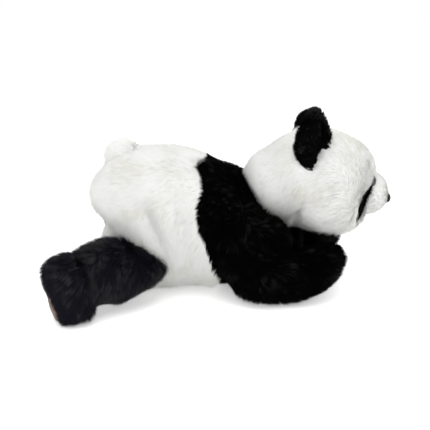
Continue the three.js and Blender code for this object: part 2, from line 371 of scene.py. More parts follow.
def add_mottle(material, dark, light, scale, bump, bump_scale):
    """Mottles the colour between two shades and roughens the surface with fine bumps, in object space."""
    nodes = material.node_tree.nodes
    links = material.node_tree.links
    shader = shader_of(material)
    where = nodes.new("ShaderNodeTexCoord")
    patches = nodes.new("ShaderNodeTexNoise")
    patches.inputs["Scale"].default_value = scale
    patches.inputs["Detail"].default_value = 6
    links.new(where.outputs["Object"], patches.inputs["Vector"])
    shades = nodes.new("ShaderNodeValToRGB")
    shades.color_ramp.elements[0].position = 0.35
    shades.color_ramp.elements[0].color = (*dark, 1)
    shades.color_ramp.elements[1].position = 0.65
    shades.color_ramp.elements[1].color = (*light, 1)
    links.new(patches.outputs["Fac"], shades.inputs["Fac"])
    links.new(shades.outputs["Color"], shader.inputs["Base Color"])
    grain = nodes.new("ShaderNodeTexNoise")
    grain.inputs["Scale"].default_value = bump_scale
    grain.inputs["Detail"].default_value = 4
    links.new(where.outputs["Object"], grain.inputs["Vector"])
    relief = nodes.new("ShaderNodeBump")
    relief.inputs["Strength"].default_value = bump
    relief.inputs["Distance"].default_value = 0.0006
    links.new(grain.outputs["Fac"], relief.inputs["Height"])
    links.new(relief.outputs["Normal"], shader.inputs["Normal"])
    return material


CLOTH_ROUGHNESS = 0.9
CLOTH_MOTTLE_SCALE = 260


def backing(name, dark, light, sheen=0.3, bump=0.6, bump_scale=900):
    """The cloth under the pile: the same colour as the pile, darker between the tufts."""
    material = plain_material(name, light, CLOTH_ROUGHNESS, sheen=sheen)
    return add_mottle(material, dark, light, CLOTH_MOTTLE_SCALE, bump, bump_scale)


WHITE_BACKING = backing("white_backing", (0.74, 0.74, 0.72), (0.8, 0.8, 0.78))
SHORT_WHITE_BACKING = backing("short_white_backing", (0.76, 0.76, 0.74), (0.81, 0.81, 0.79))
BLACK_BACKING = backing("black_backing", (0.001, 0.001, 0.0012), (0.003, 0.003, 0.0035), sheen=0.0)
shader_of(BLACK_BACKING).inputs["Specular IOR Level"].default_value = 0.05
SUEDE = backing("brown_suede", (0.075, 0.042, 0.022), (0.15, 0.09, 0.052), bump=0.9, bump_scale=1600)


def pile_tones(name, tones, roughness, sheen, specular):
    """One plain material for each tone; strands choose among them."""
    return [plain_material(f"{name}_{i}", tone, roughness, sheen, specular) for i, tone in enumerate(tones)]


# Strands choose among the tones of a list at random, and the tone biases move them along it: towards the
# darker, warmer last white tone for painted shade, and towards the lighter last black tones for painted light.
WHITE_PILE = pile_tones(
    "white_pile",
    [(0.845, 0.85, 0.83), (0.82, 0.825, 0.8), (0.79, 0.79, 0.76), (0.745, 0.735, 0.675)],
    0.8, 0.1, 0.15,
)
BLACK_PILE = pile_tones(
    "black_pile",
    [(0.0004, 0.0004, 0.0004), (0.0008, 0.0008, 0.0008), (0.003, 0.0028, 0.0027), (0.010, 0.009, 0.0087)],
    0.6, 0.0, 0.012,
)
EAR_PILE = pile_tones(
    "ear_pile",
    [(0.0006, 0.0006, 0.0006), (0.0015, 0.0014, 0.0014), (0.005, 0.0046, 0.0045), (0.019, 0.0172, 0.0165)],
    0.6, 0.0, 0.02,
)
INK_PILE = pile_tones(
    "ink_pile",
    [(0.006, 0.0063, 0.0105), (0.0125, 0.0127, 0.0175), (0.021, 0.0205, 0.0245), (0.033, 0.0305, 0.031)],
    0.55, 0.0, 0.04,
)

# ---- Pile: every tuft is real geometry, a bundle of tapered strands ----

STRAND_FLATNESS = 0.4  # height of a strand as a share of its half width
ROOT_DEPTH = 0.5  # how far a strand starts below the skin
TONE_STEPS = [-0.2, 0.7, 1.6]  # where a strand's tone, random plus any painted light or shade, passes into the next material of its list
FAR_OUTSIDE = 99.0  # stands for the depth of any point outside a skin's box


class Surface:
    """A skin's triangles, for scattering strands over it and for telling what lies inside it."""

    def __init__(self, obj):
        mesh = obj.data
        mesh.calc_loop_triangles()
        triangles = np.empty(len(mesh.loop_triangles) * 3, np.int32)
        mesh.loop_triangles.foreach_get("vertices", triangles)
        self.triangles = triangles.reshape(-1, 3)
        self.points = points_of(obj)
        self.normals = normals_of(obj)
        self.tree = BVHTree.FromPolygons(self.points.tolist(), self.triangles.tolist())
        a, b, c = (self.points[self.triangles[:, i]] for i in range(3))
        self.areas = np.linalg.norm(np.cross(b - a, c - a), axis=1) / 2
        self.low = self.points.min(0)
        self.high = self.points.max(0)

    def scatter(self, per_square_mm, random):
        """Random points over the surface with their normals."""
        count = int(self.areas.sum() * per_square_mm)
        chosen = np.searchsorted(np.cumsum(self.areas) / self.areas.sum(), random.random(count))
        chosen = np.minimum(chosen, len(self.areas) - 1)
        u, v = random.random((2, count))
        flip = u + v > 1
        u[flip], v[flip] = 1 - u[flip], 1 - v[flip]
        weights = np.stack([1 - u - v, u, v], 1)
        corners = self.triangles[chosen]
        places = (self.points[corners] * weights[:, :, None]).sum(1)
        return places, unit((self.normals[corners] * weights[:, :, None]).sum(1))

    def depth(self, places):
        """How far each point lies inside the skin; negative outside it."""
        depths = np.full(len(places), -FAR_OUTSIDE)
        inside_box = np.all((places > self.low) & (places < self.high), axis=1)
        for i in np.flatnonzero(inside_box):
            near, normal, _, _ = self.tree.find_nearest(places[i])
            depths[i] = (near - Vector(places[i])).dot(normal)
        return depths


def tuft_tips(roots, tips, spacing, seed, random):
    """The common tip that the strands of each tuft lean to."""
    wandering = roots + noise_vectors(roots, spacing * 3, seed) * spacing * 0.8
    cells = np.floor(wandering / spacing).astype(np.int64)
    keys = cells @ np.array([73856093, 19349663, 83492791])
    _, tuft = np.unique(keys, return_inverse=True)
    tuft = tuft.ravel()
    sizes = np.bincount(tuft)
    means = np.stack([np.bincount(tuft, tips[:, i]) / sizes for i in range(3)], 1)
    means += random.normal(size=means.shape) * spacing * 0.12
    return means[tuft], tuft


def strand_mesh(name, roots, tips, radii, normals, softness, tones, materials):
    """All strands as one mesh. Each is a closed, flat, three-sided pyramid that tapers to its tip."""
    count = len(roots)
    direction = unit(tips - roots)
    side = unit(np.cross(direction, normals) + 1e-6)
    lift = np.cross(side, direction)
    corners = [lift * STRAND_FLATNESS, -side - lift * STRAND_FLATNESS, side - lift * STRAND_FLATNESS]
    points = np.stack([roots + corner * radii[:, None] for corner in corners] + [tips], 1)
    points[:, :, 2] = np.maximum(points[:, :, 2], FLOOR_CLEARANCE)
    outward = np.stack([*corners, direction], 1)
    shading = unit(normals[:, None, :] * softness + outward * (1 - softness))
    triangles = np.array([(0, 3, 1), (1, 3, 2), (2, 3, 0), (0, 1, 2)])
    loops = (np.arange(count)[:, None, None] * 4 + triangles).ravel()
    faces = count * len(triangles)
    mesh = bpy.data.meshes.new(name)
    mesh.vertices.add(count * 4)
    mesh.vertices.foreach_set("co", (points * MM).astype(np.float32).ravel())
    mesh.loops.add(len(loops))
    mesh.loops.foreach_set("vertex_index", loops.astype(np.int32))
    mesh.polygons.add(faces)
    mesh.polygons.foreach_set("loop_start", np.arange(faces, dtype=np.int32) * 3)
    mesh.polygons.foreach_set("loop_total", np.full(faces, 3, np.int32))
    mesh.polygons.foreach_set("material_index", np.repeat(tones, len(triangles)).astype(np.int32))
    mesh.polygons.foreach_set("use_smooth", np.ones(faces, bool))
    for material in materials:
        mesh.materials.append(material)
    mesh.update(calc_edges=True)
    mesh.normals_split_custom_set_from_vertices(shading.reshape(-1, 3).tolist())
    obj = bpy.data.objects.new(name, mesh)
    bpy.context.scene.collection.objects.link(obj)
    return obj


def along_skin(ways, normals):
    """The part of each direction that runs along the skin."""
    return ways - normals * (ways * normals).sum(1, keepdims=True)


def grow_pile(
    name, surface, materials, flow, density, length, lean, radius, spacing, clump, ruffle, softness, seed,
    keep=None, tone_bias=None, stretch=None,
):
    """Covers a surface with strands combed along flow(points) and gathered in tufts.

    keep(points) thins them, tone_bias(points) moves them along their list of tones, which paints shade into
    the white pile and light into the black, and stretch(points) lengthens them.
    """
    random = np.random.default_rng(seed)
    roots, normals = surface.scatter(density, random)
    if keep is not None:
        kept = random.random(len(roots)) < keep(roots)
        roots, normals = roots[kept], normals[kept]
    way = along_skin(unit(flow(roots)), normals)
    unsure = np.maximum(0, 0.5 - np.linalg.norm(way, axis=1))[:, None]
    way += along_skin(np.array([0, 0, -1.0]), normals) * unsure
    broad_ruffle = noise_vectors(roots, 26, seed + 10) * ruffle
    fine_ruffle = noise_vectors(roots, 9, seed + 20) * ruffle * 0.5
    way = unit(way) + broad_ruffle + fine_ruffle
    way = unit(along_skin(way, normals))
    tilt = lean + 3 * smooth_noise(roots, 14, seed + 30) + random.normal(size=len(roots)) * 6
    tilt = np.radians(tilt)[:, None]
    reach = length * (1 + 0.15 * smooth_noise(roots, 18, seed + 40)) * random.uniform(0.75, 1.1, len(roots))
    reach = reach[:, None]
    if stretch is not None:
        reach *= stretch(roots)[:, None]
    tips = roots + (normals * np.cos(tilt) + way * np.sin(tilt)) * reach
    shared, tuft = tuft_tips(roots, tips, spacing, seed + 50, random)
    tips += (shared - tips) * clump * random.uniform(0.6, 1.0, (len(roots), 1))
    roots = roots - normals * ROOT_DEPTH
    widths = radius * random.uniform(0.7, 1.25, len(roots))
    tuft_tone = random.normal(size=tuft.max() + 1)[tuft] * 0.9 + smooth_noise(roots, 20, seed + 60)
    tone = tuft_tone + random.normal(size=len(roots)) * 0.6
    if tone_bias is not None:
        tone += tone_bias(roots)
    tones = np.clip(np.digitize(tone, TONE_STEPS), 0, len(materials) - 1)
    return strand_mesh(name, roots, tips, widths, normals, softness, tones, materials)


# ---- Torso ----

TORSO = [
    [-146, 0, 80, 50, 50],
    [-128, 0, 76, 68, 70],
    [-98, 0, 73, 76, 78],
    [-62, 0, 73, 78, 78],
    [-28, 0, 68, 76, 70.5],
    [6, 0, 61, 70, 64],
    [40, 0, 50, 58, 51],
    [68, 0, 44, 38, 38],
    [80, 0, 42, 24, 25],
]
SEAM = [  # height, X
    (20, -4), (40, -12), (60, -19), (80, -26), (100, -28),
    (114, -24), (124, -26), (133, -33), (138, -20), (142, -12),
]
RUMP_FORWARDS = 13.5  # how far the foot of the rump moves forwards
RUMP_LEAN = 31.5  # and how much further back than that its top stands
REAR_CREASE = ((-84, -72, 112), (-64, -80, 46))
FRONT_CREASE = ((-42, -70, 112), (-42, -80, 56))
OTHER_SIDE = np.array([1, -1, 1])


def seam_x(points):
    """Where the white back meets the black shoulder band at each height."""
    heights, places = zip(*SEAM)
    return np.interp(points[:, 2], heights, places)


def fold(points, start, end, width, depth):
    """A crease of that depth along a line between two points, fading at its ends."""
    start, end = np.array(start, float), np.array(end, float)
    along = end - start
    share = np.clip((points - start) @ along / (along @ along), 0, 1)
    away = np.linalg.norm(points - start - share[:, None] * along, axis=1)
    fade = np.sin(np.pi * np.clip(share, 0.02, 0.98)) ** 0.5
    return -depth * np.exp(-(away / width) ** 2) * fade


def torso_folds(points):
    """Slack vertical creases behind the shoulder band, alike on both sides, and a soft dent over each hip."""
    total = 1.2 * smooth_noise(points, 45, 301)
    for side in (points, points * OTHER_SIDE):
        total += fold(side, *REAR_CREASE, 8, 7.0)
        total += fold(side, *FRONT_CREASE, 7, 5.0)
        total += fold(side, (-62, -80, 38), (-28, -74, 24), 8, 4.0)
        total -= fold(side, (-66, -76, 112), (-54, -80, 50), 9, 2.5)
    return total


def on_the_right(points):
    """The points, with those of the left side mirrored to the right."""
    sides = points.copy()
    sides[:, 1] = -np.abs(sides[:, 1])
    return sides


def painted_crease_shade(points):
    """Painted shade: a warmer, darker tone of pile down in the creases and low down towards the floor."""
    sides = on_the_right(points)
    rear = fold(sides, *REAR_CREASE, 5, 2.0)
    front = fold(sides, *FRONT_CREASE, 4, 1.5)
    return 1.2 * smoothstep(50, 20, points[:, 2]) - rear - front


def build_torso():
    torso = joined_skin("torso_skin", [tube(TORSO, -PILE, cap=0.12)], voxel=5)
    swell(torso, pressure=3, most=2.5)
    subdivide(torso)
    press(torso, torso_folds)
    points = points_of(torso)
    rump = smoothstep(-95, -135, points[:, 0])
    points[:, 0] += rump * (RUMP_FORWARDS - RUMP_LEAN * smoothstep(72, 112, points[:, 2]))
    set_points(torso, points)
    keep_above_floor(torso, 1.5)
    return torso


torso = build_torso()
torso_surface = Surface(torso)


def split_at_seam(obj, name_behind, name_before):
    """Cuts a closed skin along the seam into two pieces, each closed there.

    The cut is made at a plane, with the skin bent so that the seam is straight, and then bent back.
    """
    halves = []
    for name, outwards in ((name_behind, 1), (name_before, -1)):
        half = bpy.data.objects.new(name, obj.data.copy())
        half.data.name = name
        bpy.context.scene.collection.objects.link(half)
        points = points_of(half)
        points[:, 0] -= seam_x(points)
        set_points(half, points)
        work = bmesh.new()
        work.from_mesh(half.data)
        everything = work.verts[:] + work.edges[:] + work.faces[:]
        cut = bmesh.ops.bisect_plane(
            work, geom=everything, plane_co=(0, 0, 0), plane_no=(outwards, 0, 0), clear_outer=True,
        )
        edges = [item for item in cut["geom_cut"] if isinstance(item, bmesh.types.BMEdge)]
        closing = bmesh.ops.holes_fill(work, edges=edges, sides=0)
        bmesh.ops.triangulate(work, faces=closing["faces"])
        work.to_mesh(half.data)
        work.free()
        points = points_of(half)
        points[:, 0] += seam_x(points)
        set_points(half, points)
        halves.append(half)
    bpy.data.objects.remove(obj)
    return halves


torso_back, shoulder_band = split_at_seam(torso, "torso_cover_white_skin", "shoulder_band_black_skin")

# ---- Head ----

NECK = (59, 0, 110.5)
SKULL = (92, 0, 120)
CHEEK_CREASE = ((83, -54, 118), (69, -34, 70))
TEMPLE_CREASE = ((112, -50, 122), (110, -50, 108))


def head_folds(points):
    """The crease where each cheek meets the neck, and the wobble of the stuffing."""
    total = 0.9 * smooth_noise(points, 34, 311)
    for side in (points, points * OTHER_SIDE):
        total += fold(side, *CHEEK_CREASE, 5, 3.5)
        total += fold(side, (74, -44, 96), (66, -28, 66), 3.5, 3.0)
        total += fold(side, *TEMPLE_CREASE, 4, 1.5)
    return total


def painted_head_crease_shade(points):
    """Painted shade: a warmer, darker tone of pile down in the creases of the cheeks and temples."""
    sides = on_the_right(points)
    return -fold(sides, *CHEEK_CREASE, 3.5, 1.6) - fold(sides, *TEMPLE_CREASE, 4, 1.2)


def build_head():
    shells = [
        ellipsoid(NECK, (43, 46, 42)),
        ellipsoid(SKULL, (61, 56, 50.5)),
        ellipsoid((118, 0, 96), (26, 40, 28)),
    ]
    for side in (-1, 1):
        shells.append(ellipsoid((110, side * 27, 98), (31, 25, 27)))
    head = joined_skin("head_cover_skin", shells, voxel=4.5, smooth=8)
    swell(head, pressure=3, most=2)
    subdivide(head)
    press(head, head_folds)
    return head


MUZZLE = [
    [116, 0, 103, 19, 27],
    [137, 0, 104.5, 20, 25.5],
    [156, 0, 103, 18.5, 21],
    [169, 0, 102, 12, 12.5],
]


def build_muzzle():
    muzzle = joined_skin("muzzle_cover_skin", [tube(MUZZLE, -0.5, cap=0.2)], voxel=2.5, smooth=5)
    swell(muzzle, pressure=3, most=1)
    subdivide(muzzle)

    def cleft(points):
        down = smoothstep(98, 88, points[:, 2]) * smoothstep(146, 158, points[:, 0])
        return -1.6 * np.exp(-(points[:, 1] / 2.0) ** 2) * down + 0.5 * smooth_noise(points, 16, 321)

    press(muzzle, cleft)
    return muzzle


head = build_head()
muzzle = build_muzzle()
head_surface = Surface(head)
muzzle_surface = Surface(muzzle)

# The eye patch is a black teardrop pieced into the face: its upper end is near the nose, and its lower end
# is out and down.
PATCH_OUT, PATCH_HEIGHT = 24, 104.0  # its centre, out from the middle plane and up
PATCH_HALF_WIDTH = 11.5  # from the centre towards the nose
PATCH_HALF_HEIGHT = 23.0
PATCH_LEAN = math.radians(24)
PATCH_REAR_WIDTH = 10.5  # from the centre away from the nose, halfway up
PATCH_REAR_TAPER = 0.42  # how much wider that gets with each millimetre down
PATCH_REAR_LEAST, PATCH_REAR_MOST = 6, 16
PATCH_RISE, PATCH_DEPTH = 0.7, 0.8  # how far it stands out of the skin and goes into it
FACE_FROM = 118  # the X that both patches lie in front of
FAR_FROM_PATCH = 9.0


def patch_share(points):
    """0 at the middle of the nearer eye patch, 1 on its outline, more outside it."""
    across = np.abs(points[:, 1]) - PATCH_OUT
    up = points[:, 2] - PATCH_HEIGHT
    u = across * math.cos(PATCH_LEAN) + up * math.sin(PATCH_LEAN)
    v = up * math.cos(PATCH_LEAN) - across * math.sin(PATCH_LEAN)
    rear = np.clip(PATCH_REAR_WIDTH - PATCH_REAR_TAPER * v, PATCH_REAR_LEAST, PATCH_REAR_MOST)
    width = np.where(u > 0, rear, PATCH_HALF_WIDTH)
    share = np.hypot(u / width, v / PATCH_HALF_HEIGHT)
    return np.where(points[:, 0] > FACE_FROM, share, FAR_FROM_PATCH)


def build_patch(side, name):
    """The part of the head's skin inside the patch outline, lifted a little and closed at the back."""
    points, normals, triangles = head_surface.points, head_surface.normals, head_surface.triangles
    centres = points[triangles].mean(1)
    inside = (patch_share(centres) < 1) & (centres[:, 1] * side > 0)
    used, index = np.unique(triangles[inside], return_inverse=True)
    top = points[used] + normals[used] * PATCH_RISE
    bottom = points[used] - normals[used] * PATCH_DEPTH
    index = index.reshape(-1, 3)
    count = len(used)
    faces = [tuple(f) for f in index] + [tuple(reversed(f + count)) for f in index]
    edges = {}
    for a, b, c in index:
        for edge in ((a, b), (b, c), (c, a)):
            edges[edge] = True
    for a, b in edges:
        if (b, a) not in edges:
            faces.append((b, a, a + count, b + count))
    return new_object(name, np.vstack([top, bottom]), faces, [BLACK_BACKING])


# ---- Ears ----

EAR_CENTRE = np.array([90.5, 45, 161.0])
EAR_BOWL = np.array([19.5, 12, 26.5])
EAR_INNER_EDGE = 135  # degrees that the bowl runs round from its back to its edge near the crown
EAR_OUTER_EDGE = 98  # and to its edge at the side of the head
EAR_TILT = 12  # degrees that the ear leans towards the crown
EAR_SWEEP = 8  # degrees that its top leans forwards


def ear_shell(outer, inner, trim):
    """Part of a bowl between two offsets from its middle sheet, open forwards and to the side.

    The trim is how much smaller its outline is, in degrees.
    """
    points, faces = sphere_grid(48, 36)
    up = points[:, 2]
    across = points[:, 1] / np.maximum(1 - up**2, 1e-4) ** 0.4
    offset = (inner + outer) / 2 - points[:, 0] * (outer - inner) / 2
    middle = math.radians(EAR_OUTER_EDGE - EAR_INNER_EDGE) / 2
    spread = math.radians(EAR_OUTER_EDGE + EAR_INNER_EDGE) / 2 - math.radians(trim)
    round_back = middle + across * spread
    height = up * math.radians(84 - trim / 2)
    directions = np.stack([
        -np.cos(round_back) * np.cos(height), np.sin(round_back) * np.cos(height), np.sin(height),
    ], 1)
    bowl = directions * (EAR_BOWL + offset[:, None])
    return bowl @ (turn_matrix("Y", EAR_SWEEP) @ turn_matrix("X", EAR_TILT)).T + EAR_CENTRE, faces


def build_ear(name, outer, inner, trim):
    ear = joined_skin(name, [ear_shell(outer, inner, trim)], voxel=1.5, smooth=3)
    swell(ear, pressure=2, most=0.6)
    press(ear, lambda points: 0.5 * smooth_noise(points, 12, 331))
    return ear


# ---- Limbs ----

FOREARM = [
    [-3, 53, 33, 28, 28],
    [42, 64, 30, 29, 29],
    [84, 55, 31, 27, 28],
    [122, 40, 46, 20, 14.5],
]


def build_arm(name):
    shells = [
        tube(FOREARM, -PILE, cap=0.22),
        ellipsoid((15, 57, 62), (27, 24, 40), roll=14),
        ellipsoid((36, 54, 60), (28, 22, 28)),
        ellipsoid((106, 44, 44), (14, 19, 12), turn=-28),
    ]
    arm = joined_skin(name, shells, voxel=4, smooth=8)
    swell(arm, pressure=3, most=2)
    subdivide(arm)

    def creases(points):
        toe = fold(points, (114, 70, 20), (118, 30, 14), 5, 1.5)
        elbow = fold(points, (20, 96, 62), (46, 74, 66), 7, 2.5)
        return 1.3 * smooth_noise(points, 32, 341) + toe + elbow

    press(arm, creases)
    keep_above_floor(arm, 2.0)
    return arm


SHANK = [
    [-60, 58, 38, 13, 13],
    [-80, 70, 36.5, 25, 19.5],
    [-106, 90, 40, 31, 34.5],
    [-130, 112, 42, 28, 33],
    [-146, 126, 41, 25, 32],
]
FOOT = (-145, 131, 33)
FOOT_YAW = 152  # the way that the sole faces, degrees from +X towards +Y
FOOT_LEAN = 11  # degrees that the top of the foot leans back over the sole
FOOT_SQUARENESS = 0.66
FOOT_RADII = (20, 23, 31)
SOLE_WAY = np.array([math.cos(math.radians(FOOT_YAW)), math.sin(math.radians(FOOT_YAW)), -0.24])
SOLE_CENTRE = np.array(FOOT) + SOLE_WAY * 16.5 + np.array([0, 0, -11])
SOLE_RADII = (3.2, 16, 15)


def build_leg(name):
    shells = [
        tube(SHANK, -PILE, cap=0.3),
        ellipsoid(FOOT, FOOT_RADII, turn=FOOT_YAW, lean=FOOT_LEAN, square=FOOT_SQUARENESS),
    ]
    leg = joined_skin(name, shells, voxel=4, smooth=6)
    swell(leg, pressure=3, most=2)
    subdivide(leg)

    def creases(points):
        ankle = fold(points, (-150, 88, 62), (-112, 150, 12), 6, 3.5)
        knee = fold(points, (-118, 70, 76), (-92, 122, 52), 7, 2.0)
        away = np.linalg.norm(points - SOLE_CENTRE, axis=1)
        return 1.3 * smooth_noise(points, 30, 351) + ankle + knee - 3 * np.exp(-(away / 17) ** 4)

    press(leg, creases)
    keep_above_floor(leg, 2.0)
    return leg


def build_sole(name):
    """A suede oval, crowned like a cushion, let into the back of the foot."""
    oval = ellipsoid(SOLE_CENTRE, SOLE_RADII, turn=FOOT_YAW, lean=FOOT_LEAN)
    sole = joined_skin(name, [oval], voxel=1.6, smooth=2)
    swell(sole, pressure=2, most=0.6)
    press(sole, lambda points: 0.35 * smooth_noise(points, 9, 361))
    set_material(sole, SUEDE)
    return sole


def build_tail():
    tail = joined_skin("tail_cover_skin", [ellipsoid((-117, 0, 139), (19, 19, 17))], voxel=3, smooth=3)
    swell(tail, pressure=2, most=1)
    subdivide(tail)
    return tail


left_arm = build_arm("left_arm_cover_skin")
left_leg = build_leg("left_leg_cover_skin")
left_sole = build_sole("left_sole_pad")
left_ear = build_ear("left_ear_back_skin", outer=3.0, inner=-0.6, trim=0)
left_lining = build_ear("left_ear_lining_skin", outer=-0.9, inner=-3.6, trim=4)
tail = build_tail()

right_arm = mirrored(left_arm, "right_arm_cover_skin")
right_leg = mirrored(left_leg, "right_leg_cover_skin")
right_sole = mirrored(left_sole, "right_sole_pad")
right_ear = mirrored(left_ear, "right_ear_back_skin")
right_lining = mirrored(left_lining, "right_ear_lining_skin")
left_patch = build_patch(1, "left_eye_patch_skin")
right_patch = build_patch(-1, "right_eye_patch_skin")

for obj in (torso_back, head, tail):
    set_material(obj, WHITE_BACKING)
set_material(muzzle, SHORT_WHITE_BACKING)
set_material(shoulder_band, BLACK_BACKING)
for obj in (left_arm, right_arm, left_leg, right_leg, left_ear, right_ear, left_lining, right_lining):
    set_material(obj, BLACK_BACKING)

arm_surfaces = {"left": Surface(left_arm), "right": Surface(right_arm)}
leg_surfaces = {"left": Surface(left_leg), "right": Surface(right_leg)}
ear_surfaces = {"left": Surface(left_ear), "right": Surface(right_ear)}
lining_surfaces = {"left": Surface(left_lining), "right": Surface(right_lining)}
sole_surfaces = {"left": Surface(left_sole), "right": Surface(right_sole)}
tail_surface = Surface(tail)

# ---- Eyes and nose ----

EYE_PLACE = (157, 17, 119)
EYE_RADIUS = 6.3
EYE_DEPTH = 0.5  # how far the middle of the eye lies behind the skin
EYE_MARGIN = 1.5  # the bare ring round the eye
NOSE_PLACE = np.array([166.6, 0, 98.8])
NOSE_RADII = np.array([5.0, 7.6, 6.0])
NOSE_LEAN = -14


def eye_material():
    material = plain_material("eye_gloss", (0.012, 0.008, 0.006), 0.12, specular=0.3, coat=0.3)
    return add_mottle(material, (0.004, 0.003, 0.003), (0.022, 0.012, 0.007), 300, 0.02, 2000)


def nose_material():
    material = plain_material("nose_gloss", (0.001, 0.001, 0.001), 0.4, specular=0.08)
    return add_mottle(material, (0.001, 0.001, 0.0012), (0.004, 0.0036, 0.0038), 500, 0.15, 2500)


EYE_GLOSS = eye_material()
NOSE_GLOSS = nose_material()


def build_eye(side, name):
    """A glossy dome that sits in the skin where the patch is."""
    near, normal, _, _ = head_surface.tree.find_nearest(EYE_PLACE)
    points, faces = ellipsoid((0, 0, 0), (EYE_RADIUS * 0.8, EYE_RADIUS, EYE_RADIUS))
    facing = math.degrees(math.atan2(normal.y, normal.x))
    points = points @ turn_matrix("Z", facing).T + np.array(near - normal * EYE_DEPTH)
    points[:, 1] *= side
    if side < 0:
        faces = [tuple(reversed(face)) for face in faces]
    return new_object(name, points, faces, [EYE_GLOSS])


def build_nose():
    """A rounded triangle, broad above, with a dent for each nostril."""
    points, faces = sphere_grid(64, 40)
    broad = 1 + 0.22 * points[:, 2]
    shaped = points * NOSE_RADII
    shaped[:, 1] *= broad
    for side in (-1, 1):
        away = np.linalg.norm(points - unit(np.array([0.8, side * 0.5, -0.12])), axis=1)
        shaped -= points * np.exp(-(away / 0.22) ** 2)[:, None]
    spin = turn_matrix("Y", NOSE_LEAN)
    return new_object("nose_button", shaped @ spin.T + NOSE_PLACE, faces, [NOSE_GLOSS])


left_eye = build_eye(1, "left_eye_dome")
right_eye = build_eye(-1, "right_eye_dome")
nose = build_nose()

# ---- Pile ----


def outside(surfaces, depth):
    """Keeps strands that start no deeper than that inside the other parts; a negative depth keeps them off."""
    def keep(points):
        kept = np.ones(len(points))
        for surface in surfaces:
            kept *= surface.depth(points) < depth
        return kept
    return keep


def both(first, second):
    return lambda points: first(points) * second(points)


def off_the_floor(points):
    """Thins the pile where the toy lies on it."""
    return smoothstep(1.5, 5, points[:, 2]) * 0.85 + 0.15


def torso_flow(points):
    """Backwards over the shoulders, straight down the flanks, and a little forwards over the hips."""
    x = -0.7 + 1.0 * smoothstep(-20, -80, points[:, 0]) * smoothstep(110, 60, points[:, 2])
    down = -0.55 - 0.5 * smoothstep(115, 50, points[:, 2])
    side = 0.35 * np.tanh(points[:, 1] / 30)
    return np.stack([x, side, down], 1)


def head_flow(points):
    """Up and outwards from the nose, back over the crown and cheeks, then down the neck."""
    x, y, z = points.T
    round_nose = unit(np.stack([np.full(len(x), -8.0), y, z - 100], 1))
    face = smoothstep(118, 148, x)[:, None]
    neck = smoothstep(105, 55, x)
    cheek = smoothstep(120, 88, z) * (1 - face[:, 0])
    front = smoothstep(98, 125, x)
    outwards = (0.1 + 0.5 * front) * np.tanh(y / 25)
    upwards = 0.7 * front * np.tanh((z - 100) / 20)
    swept = np.stack([-1 + 0.4 * neck, outwards, upwards - 0.75 * neck - 0.5 * cheek * (1 - front)], 1)
    return swept * (1 - face) + round_nose * face


def ear_flow(points):
    """Up to the ear's edge and outwards."""
    side = np.sign(points[:, 1]) * 0.3
    return np.stack([np.full(len(points), -0.2), side, np.full(len(points), 0.6)], 1)


def leg_flow(points):
    side = np.sign(points[:, 1])
    return np.stack([np.full(len(points), -0.55), side * 0.35, np.full(len(points), -0.75)], 1)


def arm_flow(points):
    side = np.sign(points[:, 1])
    forward = 0.75 * smoothstep(20, 60, points[:, 0]) + 0.1
    return np.stack([forward, -side * 0.25, np.full(len(points), -0.55)], 1)


def hip_flow(points):
    side = np.sign(points[:, 1])
    return np.stack([np.full(len(points), -0.05), side, np.full(len(points), -0.45)], 1)


def on_side(sign):
    return lambda points: (points[:, 1] * sign > 0).astype(float)


OVERHANG = 0.6  # how much longer, as a share


def longer_below(high, low):
    """Longer pile low down, where it hangs over the black pieces."""
    return lambda points: 1 + OVERHANG * smoothstep(high, low, points[:, 2])


def highlight_spot(points, centre, width):
    """1 around a point of the right side and its mirror on the left, fading over that width: where a painted
    highlight is put.
    """
    away = np.linalg.norm(on_the_right(points) - centre, axis=1)
    return np.exp(-(away / width) ** 2)


# Painted light: lighter strands along the top of the shoulder band, where the light from above falls, and
# darker ones below.
def painted_band_top_light(points):
    return 1.3 * smoothstep(112, 124, points[:, 2]) - 0.5


# Painted highlights: lighter strands round two spots on the outside of each arm, as a sheen, and darker ones
# elsewhere.
def painted_arm_highlights(points):
    return 0.9 * highlight_spot(points, (18, -74, 66), 22) + 0.5 * highlight_spot(points, (40, -86, 30), 22) - 0.3


# Painted highlights: lighter strands round two spots on the outside of each leg, as a sheen. The pile is also
# darker towards the rear end of the leg.
def painted_leg_highlights(points):
    shin_highlights = 1.2 * highlight_spot(points, (-116, -115, 31), 20) + 1.2 * highlight_spot(points, (-120, -85, 65), 16)
    return shin_highlights - 0.5 * smoothstep(-125, -145, points[:, 0])


def ear_tone(points):
    """The top edge of each ear and the side towards the crown catch the light."""
    up = points[:, 2] - EAR_CENTRE[2]
    outwards = np.abs(points[:, 1]) - EAR_CENTRE[1] + math.tan(math.radians(EAR_TILT)) * up
    return 3.4 * smoothstep(0.8, 1.0, up / EAR_BOWL[2]) + 2.4 * smoothstep(0, -6, outwards) - 1.3


def in_patch(points):
    """Inside the eye patches, but not over the eyes."""
    share = patch_share(points)
    for eye in (left_eye, right_eye):
        away = np.linalg.norm(points - points_of(eye).mean(0), axis=1)
        share[away < EYE_RADIUS + EYE_MARGIN] = FAR_FROM_PATCH
    return (share < 1).astype(float)


def off_patch(points):
    return (patch_share(points) > 0.97).astype(float)


WHITE_LOOK = dict(lean=58, radius=0.34, spacing=3.6, clump=0.5, ruffle=0.25, softness=0.55)
BLACK_LOOK = dict(lean=58, radius=0.34, spacing=5, clump=0.35, ruffle=0.25, softness=0.7)
EAR_LOOK = {**BLACK_LOOK, "lean": 45, "spacing": 3.2, "ruffle": 0.9}
MUZZLE_LOOK = {**WHITE_LOOK, "radius": 0.3, "spacing": 3}
pile = {}


def add_pile(name, surface, materials, flow, **look):
    pile[name] = grow_pile(name, surface, materials, flow, **look)
    pile[name].visible_shadow = materials is not WHITE_PILE  # thin white fibres let the light through


